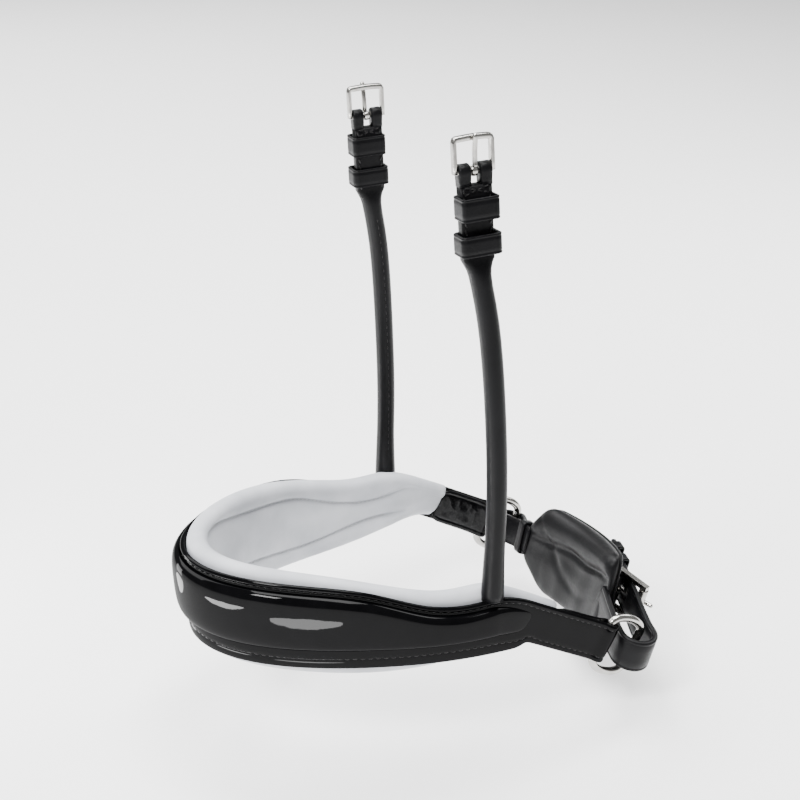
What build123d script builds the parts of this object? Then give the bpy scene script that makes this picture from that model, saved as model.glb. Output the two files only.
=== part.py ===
"""Padded crank noseband: patent band with a padded lining, rolled cheek straps with buckles, two rings and a chin pad.

Millimetres. The origin is on the lining's inner face at the middle of the nose. +X runs back to the chin,
+Z runs up the cheek straps, and -Y is the horse's left side.
"""

from build123d import *
import math
import os

# Band: plan curve is half an ellipse round the nose, then straight sides.
cheek_x = 100.0  # cheek straps, behind the nose seat
half_width = 50.5  # middle plane to the lining's inner face
lining_thick = 9.5
base_thick = 2.5
panel_rise = 4.0
skin = 1.3  # leather of the lining, the raised panel and the chin pad's cover

# Side outlines of the band, as (x, z) on its outside.
lining_top = [(-25, 23), (18, 21.5), (42, 17.3), (64, 10.6), (84, 6.0), (100, 5.4), (113, 0.1), (136, -13)]
lining_bottom = [(-25, -23.5), (20, -24.8), (55, -27), (89, -25), (113, -22), (136, -31)]
base_top = [(-25, 20.2), (28, 18), (51, 13.2), (73, 4.2), (94, 1.3), (104, 1.0), (122, -8)]
base_bottom = [(-25, -19.4), (44, -20.8), (81, -23.4), (116, -25.5)]
panel_border_top = 3.6  # base edge to raised panel
panel_border_bottom = 9.5
panel_end_x = 116.0

# End frame: u runs down and back along the band's ends, w is across the strap.
end_slope = 30.0
ring_centre = (159.0, -38.5)  # x, z
strap_half = 9.0  # half the width of the end straps
ring_y = 59.5
ring_half_u = 8.2  # ring's bars, from its centre
ring_straight = 8.5  # half the straight length of a bar
ring_crown = 4.5  # height of the ring's elliptical ends
ring_wire = 1.8  # radius
lining_end_u = -38.2
fold_outer = 4.4
fold_bore = 2.1
turnback_thick = 3.0

# Cheek straps, measured up from the band's edge in each strap's own frame.
strap_y = 60.0
pivot_z = 6.0
cheek_lean = 1.8  # degrees, tops inwards
cheek_rake = 0.9  # degrees, tops forwards
roll_radius = 4.1
core_radius = 2.4
flat_width = 12.7
flat_thick = 4.6
flat_start = 143.0
bar_z = 176.4
bar_radius = 1.1
bar_bore = 1.25
chape_radius = 2.9
slot_width = 3.8
slot_start = 171.3
frame_half_width = 8.1
frame_inner_half = 6.5
frame_top = 189.3
frame_thick = 3.0
frame_top_bar = 2.3
tongue_radius = 1.0
fixed_keeper_height = 8.5
fixed_keeper_wall = 1.0
runner_height = 7.8
runner_wall = 1.35
fixed_keeper_z = 163.4
runner_z = 150.0
billet_room = 3.2  # what a keeper leaves outside the strap

# Chin pad, in its own frame: u to the rear, y to the right, w up.
pad_roll = 7.0  # the left end sits higher
pad_tilt = 12.0  # its top leans forwards
pad_turn = 4.3  # its right end sits further back
pad_place = (2.0, 0, 5.0)
pad_corners = [(-39, 20), (28, 20.5), (42, 6.5), (42, -8.5), (20, -20.5), (-30, -20.5), (-39, -12)]  # y, w
pad_front_mid = 7.0
pad_front_radius = 130.0
pad_back_radius = 85.0
pad_thick = 8.0  # at the middle, without its back
back_thick = 1.8

# Right chin strap: a loop round the right ring's rear bar, its legs sewn together into the pad.
right_turn = (2.9, 61.0, 0.8)  # u, y, w
right_turn_radius = 5.9
right_neck_u = 3.4
right_half = 7.0
right_thick = 2.2

# Crank strap, in a frame at the middle of its turn round the left ring's rear bar.
crank_turn = (8.5, -59.4, 2.2)  # u, y, w
crank_rise = 12.0
crank_tilt = 20.0
crank_turn_radius = 7.7
crank_half = 8.0
crank_thick = 2.4
crank_heel = (38.0, 8.1)  # y, u
crank_front_bar = (25.5, 14.8)
crank_bar = 1.2
crank_roller_radius = 2.1
crank_chape_radius = 2.9
crank_keeper_y = 48.0
crank_runner_y = 57.0
crank_tail_slope = 0.16

os.makedirs("parts", exist_ok=True)
Y_UP = Plane.XZ  # its own +Z is -Y
sides = {"left": -1, "right": 1}
end_plane = Plane(
    origin=(ring_centre[0], 0, ring_centre[1]),
    x_dir=(math.cos(math.radians(end_slope)), 0, -math.sin(math.radians(end_slope))),
    z_dir=(math.sin(math.radians(end_slope)), 0, math.cos(math.radians(end_slope))),
)


def block(x, y, z):
    """A box from three (low, high) pairs."""
    size = [b - a for a, b in (x, y, z)]
    middle = [(a + b) / 2 for a, b in (x, y, z)]
    return Pos(*middle) * Box(*size)


def horseshoe(offset, back=190.0):
    """Solid whose plan is the inner curve moved out by offset, tall enough to trim."""
    a = cheek_x + offset
    b = half_width + offset
    nose = Pos(cheek_x, 0, -60) * extrude(Ellipse(a, b), 120)
    nose -= block((cheek_x, cheek_x + a + 5), (-b - 5, b + 5), (-70, 70))
    return nose + block((cheek_x - 0.01, back), (-b, b), (-60, 60))


def side_wall(top, bottom):
    """Solid between two edge curves seen from the side, right across the band."""
    upper = Spline(*top)
    lower = Spline(*bottom)
    front = Line(top[0], bottom[0])
    rear = Line(top[-1], bottom[-1])
    outline = make_face(upper + rear + lower + front)
    return extrude(Plane.XZ * outline, 90, both=True)


def shifted(points, dz):
    return [(x, z + dz) for x, z in points]


def both(shape):
    """The shape with its mirror image on the other side of the middle plane."""
    return shape + mirror(shape, Plane.XZ)


pad_frame = (
    end_plane.location * Pos(*pad_place) * Rot(-pad_roll, 0, 0) * Rot(0, -pad_tilt, 0) * Rot(0, 0, -pad_turn)
)
crank_frame = (
    end_plane.location
    * Pos(crank_turn[0], crank_turn[1], crank_turn[2])
    * Rot(crank_rise, 0, 0)
    * Rot(0, -crank_tilt, 0)
)


def in_end_frame(shape):
    return end_plane.location * shape


def band_layer(low, high, top, bottom):
    return (horseshoe(high) - horseshoe(low)) & side_wall(top, bottom)


def ring_fold():
    """The strap's end turned round the ring's front bar, on the right side, in the end frame."""
    reach = -ring_half_u
    outer_leg = block((-52, reach), (half_width + lining_thick, half_width + lining_thick + base_thick), (-9, 9))
    inner_face = half_width + lining_thick - turnback_thick
    inner_leg = block((lining_end_u, reach), (inner_face, half_width + lining_thick), (-9, 9))
    eye = Pos(reach, ring_y, 0) * Cylinder(fold_outer, 2 * strap_half)
    bore = Pos(reach, ring_y, 0) * Cylinder(fold_bore, 2 * strap_half + 2)
    mouth = block((reach - 0.01, reach + 9), (ring_y - 6, ring_y + 6), (-12, 12))
    return (outer_leg + inner_leg - mouth) + eye - bore


def strap_root(grow=0.0):
    """The cheek strap's flat end sewn between lining and base, on the right side."""
    wide = 7.0 + grow
    outer = half_width + lining_thick - 0.15
    return block((cheek_x - wide, cheek_x + wide), (outer - 2.4 - grow, outer + grow), (-12 - grow, 0.6 + grow))


def patent_base():
    outer = lining_thick + base_thick
    band = band_layer(lining_thick, outer, base_top, base_bottom)
    ends = both(in_end_frame(ring_fold()))
    return band + ends


def lining_envelope(inset=0.0):
    low = inset
    high = lining_thick - inset
    body = band_layer(low, high, shifted(lining_top, -inset), shifted(lining_bottom, inset))
    beyond = in_end_frame(block((lining_end_u - inset, 120), (-90, 90), (-90, 90)))
    return body - beyond


def lining():
    foam = lining_envelope(skin)
    pocket = Pos(cheek_x, strap_y, 30.6) * Cylinder(5.3, 60)
    rooms = both(pocket + strap_root(0.05))
    cavity = both(Pos(cheek_x, strap_y, 30.6) * Cylinder(5.3 + skin, 60 + 2 * skin) + strap_root(skin))
    foam = foam - cavity
    return lining_envelope() - foam - rooms, foam


def raised_panel():
    start = lining_thick + base_thick
    end = Pos(panel_end_x - 6, 0, 0) * block((0, 60), (-90, 90), (-60, 60))

    def layer(inset):
        top = shifted(base_top, -panel_border_top - inset)
        bottom = shifted(base_bottom, panel_border_bottom + inset)
        cut = Pos(-inset, 0, 0) * end
        return band_layer(start, start + panel_rise - inset, top, bottom) - cut

    filler = layer(skin)
    return layer(0) - filler, filler


def ring(side):
    """Oval ring in the end frame, round wire."""
    u, s, c = ring_half_u, ring_straight, ring_crown
    line_front = Line((-u, -s), (-u, s))
    arc_top = EllipticalCenterArc((0, s), u, c, start_angle=0, arc_size=180)
    line_rear = Line((u, s), (u, -s))
    arc_bottom = EllipticalCenterArc((0, -s), u, c, start_angle=180, arc_size=180)
    path = Plane.XZ * Wire([line_front, arc_top, line_rear, arc_bottom])
    section = Pos(-u, 0, 0) * Circle(ring_wire)
    return in_end_frame(Pos(0, side * ring_y, 0) * sweep(section, path=path))


def cheek_frame(side):
    """Where a cheek strap stands: local +Y points outwards on both sides."""
    place = Pos(cheek_x, side * strap_y, pivot_z) * Rot(side * cheek_lean, 0, 0) * Rot(0, -cheek_rake, 0)
    return place * Pos(0, 0, -pivot_z)


def placed_cheek(shape, side):
    """Shapes are drawn for the right side, so the left one is their mirror image."""
    drawn = shape if side > 0 else mirror(shape, Plane.XZ)
    return cheek_frame(side) * drawn


def cheek_strap():
    roll = Pos(0, 0, (pivot_z + 137) / 2) * Cylinder(roll_radius, 137 - pivot_z)
    foot = Pos(0, 0, pivot_z) * Sphere(roll_radius)
    round_end = Plane.XY.offset(137) * Circle(roll_radius)
    flat_end = Plane.XY.offset(flat_start) * RectangleRounded(flat_width, flat_thick, 1.2)
    neck = loft([round_end, flat_end])
    flat = block((-flat_width / 2, flat_width / 2), (-flat_thick / 2, flat_thick / 2), (flat_start, bar_z))
    chape = Pos(0, 0, bar_z) * Rot(0, 90, 0) * Cylinder(chape_radius, flat_width)
    bore = Pos(0, 0, bar_z) * Rot(0, 90, 0) * Cylinder(bar_bore, flat_width + 2)
    slot = block((-slot_width / 2, slot_width / 2), (-4, 4), (slot_start, bar_z + 5))
    core = cheek_core(0.05)
    return roll + foot + neck + flat + chape - bore - slot - core


def cheek_core(grow=0.0):
    return Pos(0, 0, 72) * Cylinder(core_radius + grow, 124 + 2 * grow)


def keeper(back_gap, front_gap, centre, side_gap, wall, height):
    """Closed leather loop round the strap, roomier on its outer (+Y) side."""
    inner_half = flat_width / 2 + side_gap
    back = -flat_thick / 2 - back_gap
    front = flat_thick / 2 + front_gap
    low, high = centre - height / 2, centre + height / 2
    outside = block((-inner_half - wall, inner_half + wall), (back - wall, front + wall), (low, high))
    outside = fillet(outside.edges().filter_by(Axis.Z), 1.4)
    return outside - block((-inner_half, inner_half), (back, front), (low - 1, high + 1))


def buckle_frame(half_width_, inner_half, heel, top, thick, bar_r, arch=0.5):
    """Heel-bar buckle frame in the XZ plane, with its top bar slightly arched."""
    low = heel - bar_r - 0.5
    corner = top - arch
    outline = make_face(
        Line((-half_width_, low), (half_width_, low))
        + Line((half_width_, low), (half_width_, corner))
        + ThreePointArc((half_width_, corner), (0, top), (-half_width_, corner))
        + Line((-half_width_, corner), (-half_width_, low))
    )
    plate = extrude(Plane.XZ * outline, thick / 2, both=True)
    plate = fillet(plate.edges().filter_by(Axis.Y).group_by(Axis.Z)[-1], 1.1)
    opening_top = top - frame_top_bar
    plate -= block((-inner_half, inner_half), (-9, 9), (low - 1, opening_top))
    bar = Pos(0, 0, heel) * Rot(0, 90, 0) * Cylinder(bar_r, 2 * inner_half + 0.2)
    return plate + bar


def tongue(heel, tip_z, rest_y, prong_radius, bore, ring_radius, width):
    """Prong with an eye round the heel bar; it rests on the outer side of the frame's top bar."""
    eye = Pos(0, 0, heel) * Rot(0, 90, 0) * Cylinder(ring_radius, width)
    start = Vector(0, ring_radius - prong_radius, heel)
    tip = Vector(0, rest_y, tip_z)
    shaft_plane = Plane(origin=start, z_dir=tip - start)
    shaft = extrude(shaft_plane * Circle(prong_radius), (tip - start).length)
    point = Pos(*tip) * Sphere(prong_radius)
    hole = Pos(0, 0, heel) * Rot(0, 90, 0) * Cylinder(bore, width + 2)
    return eye + shaft + point - hole


def pad_outline(inset):
    """Chin pad seen from the nose, with its corners rounded."""
    face = make_face(Polyline(*pad_corners, close=True))
    face = fillet(face.vertices(), 6.0)
    return offset(face, -inset) if inset else face


def pad_cylinder(radius, through, half=60):
    """Upright cylinder whose rearmost line is at u = through."""
    return Pos(through - radius, 0, 0) * Cylinder(radius, 2 * half)


def pad_layer(inset, front, back):
    """Slice of the bowed pad: front is a depth behind its front face, back one behind its padded back."""
    slab = extrude(Plane.YZ * pad_outline(inset), 60, both=True)
    outer = pad_cylinder(pad_back_radius + back, pad_front_mid + pad_thick + back)
    inner = pad_cylinder(pad_front_radius + front, pad_front_mid + front, 61)
    return slab & (outer - inner)


def ribbon(path, start, direction, thick, half):
    """Flat strap swept along a path in the local XY plane, its width along local Z."""
    section = Plane(origin=start, x_dir=(0, 0, 1), z_dir=direction) * Rectangle(2 * half, thick)
    return sweep(section, path=path)


def right_strap():
    """In the pad frame: both legs go into the pad's right end."""
    u, y, w = right_turn
    r, gap = right_turn_radius, right_thick / 2 + 0.05
    neck_y, end_y = 49.0, 38.5
    n = right_neck_u
    front_in = Line((n - gap, end_y), (n - gap, neck_y))
    front_out = Spline((n - gap, neck_y), (u - r, y), tangents=((0, 1), (0, 1)))
    turn = ThreePointArc((u - r, y), (u, y + r), (u + r, y))
    rear_out = Spline((u + r, y), (n + gap, neck_y), tangents=((0, -1), (0, -1)))
    rear_in = Line((n + gap, neck_y), (n + gap, end_y))
    path = Wire([front_in, front_out, turn, rear_out, rear_in])
    return Pos(0, 0, w) * ribbon(path, (n - gap, end_y, 0), (0, 1, 0), right_thick, right_half)


def right_keeper():
    """Band holding both legs of the right strap together beside the pad."""
    low, high = 42.4, 47.6
    deep, wide = right_thick + 0.15, right_half + 0.1
    n, w = right_neck_u, right_turn[2]
    outside = block((n - deep - 1.3, n + deep + 1.3), (low, high), (w - wide - 1.3, w + wide + 1.3))
    outside = fillet(outside.edges().filter_by(Axis.Y), 1.2)
    return outside - block((n - deep, n + deep), (low - 1, high + 1), (w - wide, w + wide))


def crank_strap():
    """In the crank frame: out of the pad, round the ring's bar, through the buckle and along the pad's back."""
    r = crank_turn_radius
    inside = Spline((-3.0, 30), (-r, 0), tangents=((-0.2, -1), (0, -1)))
    turn = ThreePointArc((-r, 0), (0, -r), (r, 0))
    rise = Spline((r, 0), (10.9, 25), (12.5, 38), tangents=((0, 1), (crank_tail_slope, 1)))
    tail = Line((12.5, 38), (12.5 + crank_tail_slope * 25, 63))
    path = Wire([inside, turn, rise, tail])
    strap = ribbon(path, (-3.0, 30, 0), (-0.2, -1, 0), crank_thick, crank_half)
    hole = block((8.5, 14.6), (30.2, 41.3), (-1.7, 1.7))
    return strap - hole


def crank_frame_bar(at, radius, length):
    return Pos(at[1], at[0], 0) * Cylinder(radius, length)


def crank_buckle():
    """Square buckle: side rails along the strap, heel bar in the chape, front bar in the roller."""
    inner, rail = crank_half + 0.7, 2.2
    heel, front = crank_heel, crank_front_bar
    side = make_face(
        Polyline(
            (heel[1] - 1.6, heel[0] + 0.9),
            (heel[1] + 0.9, heel[0] + 2.2),
            (front[1] + 1.8, front[0] - 0.9),
            (front[1] - 0.6, front[0] - 2.2),
            close=True,
        )
    )
    rails = Pos(0, 0, inner) * extrude(side, rail) + Pos(0, 0, -inner - rail) * extrude(side, rail)
    return rails + crank_frame_bar(heel, crank_bar, 2 * inner + 0.2) + crank_frame_bar(front, crank_bar, 2 * inner + 0.2)


def crank_roller():
    half = crank_half + 0.4
    return crank_frame_bar(crank_front_bar, crank_roller_radius, 2 * half) - crank_frame_bar(
        crank_front_bar, crank_bar + 0.08, 2 * half + 2
    )


def crank_tongue():
    heel, front = crank_heel, crank_front_bar
    eye = crank_frame_bar(heel, 2.3, 2.8)
    start = Vector(heel[1] + 1.3, heel[0], 0)
    tip = Vector(front[1] + crank_roller_radius + 3.2, front[0] - 1.6, 0)
    shaft = extrude(Plane(origin=start, z_dir=tip - start) * Circle(1.0), (tip - start).length)
    return eye + shaft + Pos(*tip) * Sphere(1.0) - crank_frame_bar(heel, crank_bar + 0.08, 5)


def crank_chape():
    """Strap folded round the heel bar and laid on the pad's back, in the world frame."""
    y, u = crank_heel
    eye = Pos(u, y, 0) * Cylinder(crank_chape_radius, 2 * crank_half)
    bar_bore = Pos(u, y, 0) * Cylinder(crank_bar + 0.1, 2 * crank_half + 2)
    tail = block((-10, 40), (y, y + 28), (-crank_half, crank_half))
    neck = block((u - 2.9, u + 2.9), (y, y + 6), (-crank_half, crank_half))
    slot = block((u - 5, u + 5), (y - 5, y + 5.5), (-2.2, 2.2))
    start = pad_front_mid + pad_thick + back_thick
    radius = pad_back_radius + back_thick
    behind = pad_frame * pad_cylinder(radius, start, 61)
    shell = pad_frame * pad_cylinder(radius + crank_thick, start + crank_thick) - behind
    laid = (crank_frame * tail) & shell
    outside = (crank_frame * (eye + neck)) - behind
    return outside + laid - crank_frame * (bar_bore + slot)


def crank_loop(y, height):
    """Keeper round the crank strap's tail behind the chape."""
    low, high = y - height / 2, y + height / 2
    middle = 12.5 + crank_tail_slope * (y - 38)
    wide = crank_half + 0.4
    deep = crank_thick / 2 + 0.35 + crank_tail_slope * height / 2
    outside = block((middle - deep - 1.2, middle + deep + 1.2), (low, high), (-wide - 1.2, wide + 1.2))
    outside = fillet(outside.edges().filter_by(Axis.Y), 1.1)
    return outside - block((middle - deep, middle + deep), (low - 1, high + 1), (-wide, wide))


def save(shape, name):
    export_step(shape, f"parts/{name}.step")


save(patent_base(), "patent_base")
lining_skin, lining_foam = lining()
save(lining_skin, "lining_skin")
save(lining_foam, "lining_foam")
panel_cover, panel_filler = raised_panel()
save(panel_cover, "raised_panel")
save(panel_filler, "panel_filler")
for name, side in sides.items():
    root = strap_root() if side > 0 else mirror(strap_root(), Plane.XZ)
    save(root, f"{name}_strap_root")
    save(ring(side), f"{name}_ring")
    save(placed_cheek(cheek_strap(), side), f"{name}_cheek_strap")
    save(placed_cheek(cheek_core(), side), f"{name}_strap_core")
    fixed = keeper(0.05, billet_room, fixed_keeper_z, 0.05, fixed_keeper_wall, fixed_keeper_height)
    save(placed_cheek(fixed, side), f"{name}_fixed_keeper")
    runner = keeper(0.3, 2.6, runner_z, 0.4, runner_wall, runner_height)
    save(placed_cheek(runner, side), f"{name}_runner")
    frame = buckle_frame(frame_half_width, frame_inner_half, bar_z, frame_top, frame_thick, bar_radius)
    save(placed_cheek(frame, side), f"{name}_buckle_frame")
    prong = tongue(bar_z, 190.4, 2.9, tongue_radius, 1.2, 2.2, 2.6)
    save(placed_cheek(prong, side), f"{name}_buckle_tongue")
billet = pad_frame * right_strap()
crank = crank_frame * crank_strap()
foam = pad_frame * pad_layer(skin, skin, 0)
cover = pad_frame * pad_layer(0, 0, 0) - foam
save(cover - billet - crank, "chin_pad_cover")
save(foam - billet - crank, "chin_pad_foam")
back = pad_layer(0, 0, back_thick) - pad_cylinder(pad_back_radius, pad_front_mid + pad_thick, 62)
save(pad_frame * back - billet - crank, "chin_pad_back")
save(billet, "right_chin_strap")
save(pad_frame * right_keeper(), "right_chin_keeper")
save(crank, "crank_strap")
save(crank_chape(), "crank_chape")
save(crank_frame * crank_buckle(), "crank_buckle_frame")
save(crank_frame * crank_roller(), "crank_roller")
save(crank_frame * crank_tongue(), "crank_tongue")
save(crank_frame * crank_loop(crank_keeper_y, 5.0), "crank_keeper")
save(crank_frame * crank_loop(crank_runner_y, 5.0), "crank_runner")
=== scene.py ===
"""Visual model of the padded crank noseband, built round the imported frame.

Metres; the profiles below are in mm.
"""

import math

import bmesh
import bpy
import numpy as np
from mathutils import Matrix, Vector


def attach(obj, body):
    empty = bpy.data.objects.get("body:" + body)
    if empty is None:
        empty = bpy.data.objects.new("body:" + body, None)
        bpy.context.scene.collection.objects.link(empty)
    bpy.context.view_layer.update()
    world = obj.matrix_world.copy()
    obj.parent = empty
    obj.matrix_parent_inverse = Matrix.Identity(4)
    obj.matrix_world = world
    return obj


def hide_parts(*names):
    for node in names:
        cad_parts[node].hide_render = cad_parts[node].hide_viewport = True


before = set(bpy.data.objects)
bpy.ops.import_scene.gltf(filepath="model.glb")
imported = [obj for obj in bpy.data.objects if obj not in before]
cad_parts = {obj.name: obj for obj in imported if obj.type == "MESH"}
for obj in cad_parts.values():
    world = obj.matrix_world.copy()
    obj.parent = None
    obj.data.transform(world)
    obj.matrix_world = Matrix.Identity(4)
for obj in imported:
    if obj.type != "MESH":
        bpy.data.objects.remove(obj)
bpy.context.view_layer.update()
MM = 0.001

# ---------------------------------------------------------------- dimensions, mm, as in the CAD part
CHEEK_X, HALF = 100.0, 50.5
LINING, BASE = 9.5, 2.5
END_SLOPE, RING_X, RING_Z = 30.0, 159.0, -38.5
RING_Y, RING_U, RING_W, RING_CROWN, RING_WIRE = 59.5, 8.2, 8.5, 4.5, 1.8
PIVOT_Z, LEAN, RAKE = 6.0, 1.8, 0.9
BAR_Z = 176.4
LINING_TOP = [(-25, 23), (18, 21.5), (42, 17.3), (64, 10.6), (84, 6.0), (100, 5.4), (113, 0.1), (136, -13)]
LINING_BOTTOM = [(-25, -23.5), (20, -24.8), (55, -27), (89, -25), (113, -22), (136, -31)]
BASE_TOP = [(-25, 20.2), (28, 18), (51, 13.2), (73, 4.2), (94, 1.3), (104, 1.0), (122, -8)]
BASE_BOTTOM = [(-25, -19.4), (44, -20.8), (81, -23.4), (116, -25.5)]
SEAM_TOP = [(-25, 17.6), (5, 16.6), (15, 13.6), (28, 10.7), (53, 6.0)]
SEAM_TOP += [(65, 0.5), (77, -3.9), (88, -5.9), (104, -4.1)]
SEAM_BOTTOM = [(-25, -13.7), (23, -14.5), (42, -17.5), (55, -18.6), (72, -17.3), (89, -15.3), (104, -15.6)]


def smooth_curve(points):
    """Natural cubic through (x, z) points, as a function of x."""
    x = np.array([p[0] for p in points], float)
    z = np.array([p[1] for p in points], float)
    n, h = len(x), np.diff(x)
    a = np.zeros((n, n))
    r = np.zeros(n)
    a[0, 0] = a[-1, -1] = 1.0
    for i in range(1, n - 1):
        a[i, i - 1 : i + 2] = h[i - 1], 2 * (h[i - 1] + h[i]), h[i]
        r[i] = 6 * ((z[i + 1] - z[i]) / h[i] - (z[i] - z[i - 1]) / h[i - 1])
    m = np.linalg.solve(a, r)

    def at(v):
        i = int(min(max(np.searchsorted(x, v) - 1, 0), n - 2))
        p, q = x[i + 1] - v, v - x[i]
        return float(
            (m[i] * p**3 + m[i + 1] * q**3) / (6 * h[i])
            + (z[i] / h[i] - m[i] * h[i] / 6) * p
            + (z[i + 1] / h[i] - m[i + 1] * h[i] / 6) * q
        )

    return at


lining_top, lining_bottom = smooth_curve(LINING_TOP), smooth_curve(LINING_BOTTOM)
base_top, base_bottom = smooth_curve(BASE_TOP), smooth_curve(BASE_BOTTOM)
seam_top, seam_bottom = smooth_curve(SEAM_TOP), smooth_curve(SEAM_BOTTOM)
COS, SIN = math.cos(math.radians(END_SLOPE)), math.sin(math.radians(END_SLOPE))
END = Matrix.Translation((RING_X, 0, RING_Z)) @ Matrix.Rotation(math.radians(END_SLOPE), 4, "Y")


def rot(x=0.0, y=0.0, z=0.0):
    turns = [Matrix.Rotation(math.radians(a), 4, k) for a, k in ((x, "X"), (y, "Y"), (z, "Z"))]
    return turns[0] @ turns[1] @ turns[2]


PAD = END @ Matrix.Translation((2.0, 0, 5.0)) @ rot(x=-7.0) @ rot(y=-12.0) @ rot(z=-4.3)
CRANK = END @ Matrix.Translation((8.5, -59.4, 2.2)) @ rot(x=12.0) @ rot(y=-20.0)
CHEEK = {
    side: Matrix.Translation((CHEEK_X, side * 60.0, PIVOT_Z))
    @ rot(x=side * LEAN)
    @ rot(y=-RAKE)
    @ Matrix.Translation((0, 0, -PIVOT_Z))
    @ Matrix.Diagonal((1, side, 1, 1))
    for side in (-1, 1)
}


# ---------------------------------------------------------------- mesh helpers
def new_object(name, verts, faces, smooth=True):
    """Mesh object from points in mm."""
    data = bpy.data.meshes.new(name)
    data.from_pydata([tuple(c * MM for c in v) for v in verts], [], faces)
    data.update()
    obj = bpy.data.objects.new(name, data)
    bpy.context.scene.collection.objects.link(obj)
    recalc(obj)
    for poly in data.polygons:
        poly.use_smooth = smooth
    return obj


def recalc(obj):
    """Join doubled points and turn the faces outward."""
    bm = bmesh.new()
    bm.from_mesh(obj.data)
    bmesh.ops.remove_doubles(bm, verts=bm.verts, dist=1e-7)
    bmesh.ops.recalc_face_normals(bm, faces=bm.faces)
    bm.to_mesh(obj.data)
    bm.free()


class Solid:
    """Collects lofted parts into one mesh."""

    def __init__(self):
        self.verts = []
        self.faces = []

    def loft(self, rings, close_path=False, caps=True):
        """Skin closed rings of points; the ends get fans to their middles."""
        start, n = len(self.verts), len(rings[0])
        for ring in rings:
            self.verts.extend(tuple(p) for p in ring)
        count = len(rings)
        for i in range(count if close_path else count - 1):
            a, b = start + i * n, start + ((i + 1) % count) * n
            for j in range(n):
                k = (j + 1) % n
                self.faces.append((a + j, a + k, b + k, b + j))
        if caps and not close_path:
            for ring, base in ((rings[0], start), (rings[-1], start + (count - 1) * n)):
                middle = len(self.verts)
                self.verts.append(tuple(sum(p[c] for p in ring) / n for c in range(3)))
                for j in range(n):
                    self.faces.append((middle, base + j, base + (j + 1) % n))
        return self

    def build(self, name, smooth=True):
        return new_object(name, self.verts, self.faces, smooth)


def crossing(points, i, closed):
    """Unit tangent of a list of points at i."""
    n = len(points)
    a = points[(i - 1) % n] if closed or i > 0 else points[0]
    b = points[(i + 1) % n] if closed or i < n - 1 else points[-1]
    return (b - a).normalized()


def ribbon_rings(path, wide, half, thick, closed=False, edge=0.45, groove=None):
    """Strap sections along path; wide is the direction across it.

    Edges are rounded, grooves run beside them.
    """
    rings = []
    for i, p in enumerate(path):
        t = crossing(path, i, closed)
        w = (wide - t * wide.dot(t)).normalized()
        n = t.cross(w)
        h, e = thick / 2, edge
        face = [(-half, h - e), (-half + 0.35 * e, h - 0.3 * e), (-half + e, h)]
        if groove:
            face += [(-half + groove - 0.35, h), (-half + groove, h - 0.22), (-half + groove + 0.35, h)]
        face += [(-half / 3, h), (half / 3, h)]
        upper = face + [(-a, b) for a, b in reversed(face[:-2])]
        section = upper + [(a, -b) for a, b in reversed(upper)]
        rings.append([p + w * a + n * b for a, b in section])
    return rings


def tube_rings(path, radius, around, sides=20, closed=False, flat=1.0):
    """Wire sections along path; around is a direction never along the path."""
    rings = []
    for i, p in enumerate(path):
        t = crossing(path, i, closed)
        w = (around - t * around.dot(t)).normalized()
        n = t.cross(w)
        turn = [2 * math.pi * j / sides for j in range(sides)]
        rings.append([p + w * radius * math.cos(a) + n * radius * flat * math.sin(a) for a in turn])
    return rings


def catmull(points, per=8, closed=False):
    """Smooth run of points through a few."""
    pts = [Vector(p) for p in points]
    n = len(pts)
    out = []
    for i in range(n if closed else n - 1):
        p1, p2 = pts[i], pts[(i + 1) % n]
        p0 = pts[(i - 1) % n] if closed or i > 0 else p1 * 2 - p2
        p3 = pts[(i + 2) % n] if closed or i + 2 < n else p2 * 2 - p1
        for k in range(per):
            t = k / per
            out.append(
                0.5
                * (
                    (2 * p1)
                    + (p2 - p0) * t
                    + (2 * p0 - 5 * p1 + 4 * p2 - p3) * t**2
                    + (3 * p1 - p0 - 3 * p2 + p3) * t**3
                )
            )
    if not closed:
        out.append(pts[-1])
    return out


def even(points, step):
    """Points a step apart along a run, with tangents."""
    length = [0.0]
    for a, b in zip(points, points[1:]):
        length.append(length[-1] + (b - a).length)
    count = max(2, int(length[-1] / step))
    out = []
    j = 0
    for k in range(count):
        s = length[-1] * (k + 0.5) / count
        while length[j + 1] < s:
            j += 1
        f = (s - length[j]) / (length[j + 1] - length[j])
        out.append((points[j].lerp(points[j + 1], f), (points[j + 1] - points[j]).normalized()))
    return out


def stitches(solid, points, out, step=3.2, length=2.3, radius=0.34, sink=0.05, turn=0.0):
    """Thread stitches along a run of points; out gives the surface's outward direction at a point."""
    for p, t in even(points, step):
        n = out(p)
        n = (n - t * n.dot(t)).normalized()
        side = t.cross(n)
        if turn:
            t, side = t * math.cos(turn) + side * math.sin(turn), side * math.cos(turn) - t * math.sin(turn)
        rings = []
        for k in range(7):
            a = math.pi * (k + 0.4) / 6.8
            along, r = -math.cos(a) * length / 2, radius * (0.35 + 0.65 * math.sin(a))
            lift = -sink - 0.35 * radius + 0.5 * radius * math.sin(a)
            c = p + t * along + n * lift
            around = [math.pi * j / 4 for j in range(8)]
            rings.append([c + side * r * math.cos(b) + n * r * math.sin(b) for b in around])
        solid.loft(rings)


def moved(matrix, rings):
    return [[matrix @ Vector(p) for p in ring] for ring in rings]


# ---------------------------------------------------------------- materials
def material(name, color, rough, metal=0.0, coat=0.0, coat_rough=0.03, spec=0.5, sheen=0.0):
    mat = bpy.data.materials.new(name)
    mat.use_nodes = True
    shader = mat.node_tree.nodes["Principled BSDF"]
    shader.inputs["Base Color"].default_value = (*color, 1)
    shader.inputs["Roughness"].default_value = rough
    shader.inputs["Metallic"].default_value = metal
    shader.inputs["Coat Weight"].default_value = coat
    shader.inputs["Coat Roughness"].default_value = coat_rough
    shader.inputs["Specular IOR Level"].default_value = spec
    shader.inputs["Sheen Weight"].default_value = sheen
    return mat, shader


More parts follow.
